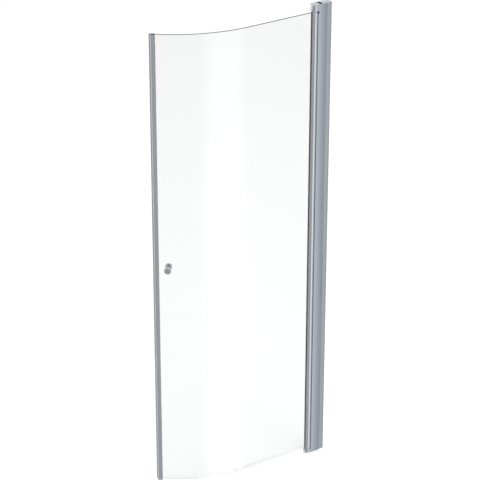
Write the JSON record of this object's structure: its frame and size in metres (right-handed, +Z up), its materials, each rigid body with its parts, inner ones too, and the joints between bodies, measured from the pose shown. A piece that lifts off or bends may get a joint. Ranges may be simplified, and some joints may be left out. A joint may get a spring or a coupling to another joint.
{
  "type": "curved shower door",
  "caption": "Curved glass shower door on a wall-fixed hinge post: a bent pane that swings outward and rises as it opens, with a magnetic closing edge and round knobs.",
  "frame": {"origin": "middle of the lower end of the wall rail's back face, on the wall plane at the shower floor", "axes": "+Z up, +X into the wall, so the closed door runs to -X and its bend turns towards +Y, the shower side"},
  "size_m": [0.7365, 0.1652, 2],
  "materials": {
    "satin_aluminium": "satin silver anodised extrusion",
    "cast_grey": "die-cast, silver grey coat",
    "stainless_steel": "turned, bright",
    "grey_acetal": "moulded acetal, silver grey",
    "toughened_glass": "clear, ground edges",
    "dark_vinyl": "matt extruded vinyl",
    "clear_vinyl": "clear extruded vinyl",
    "grey_vinyl": "grey extruded vinyl",
    "flexible_magnet": "bonded ferrite strip",
    "polished_chrome": "turned and plated",
    "grey_plastic": "moulded end piece"
  },
  "bodies": {
    "wall_mount": {"wall_profile": "satin_aluminium", "rail_cap": "cast_grey", "adjusting_screws": "stainless_steel", "adjusting_washers": "stainless_steel"},
    "hinge_frame": {"hinge_post": "satin_aluminium", "hinge_seal": "dark_vinyl", "head_block": "cast_grey", "foot_block": "cast_grey", "block_screws": "stainless_steel", "upper_bush": "grey_acetal", "lower_cam": "grey_acetal", "lower_pivot_pin": "stainless_steel"},
    "rising_pin": {"upper_pivot_pin": "stainless_steel"},
    "door": {"pivot_profile": "satin_aluminium", "top_bearing": "grey_acetal", "cam_follower": "grey_acetal", "glazing_gasket": "dark_vinyl", "glass_panel": "toughened_glass", "closing_profile": "satin_aluminium", "closing_top_cap": "grey_plastic", "closing_foot": "grey_plastic", "edge_gasket": "clear_vinyl", "magnet_seal": "grey_vinyl", "magnet_strip": "flexible_magnet", "bottom_seal": "clear_vinyl", "outer_knob": "polished_chrome", "inner_knob": "polished_chrome", "knob_stud": "stainless_steel", "knob_sleeve": "clear_vinyl", "knob_washers": "clear_vinyl"}
  },
  "joints": [
    {"name": "width_adjustment", "type": "slide", "parent": "wall_mount", "child": "hinge_frame", "axis": [-1, 0, 0], "range_m": [-0.006, 0.008]},
    {"name": "door_lift", "type": "slide", "parent": "hinge_frame", "child": "rising_pin", "axis": [0, 0, 1], "range_m": [0, 0.005]},
    {"name": "door_swing", "type": "hinge", "parent": "rising_pin", "child": "door", "pos_m": [-0.072, 0, 1], "axis": [0, 0, 1], "range_deg": [0, 90]}
  ],
  "couplings": [
    {"joint": "door_lift", "follows": "door_swing", "m_per_rad": 0.0031831}
  ]
}
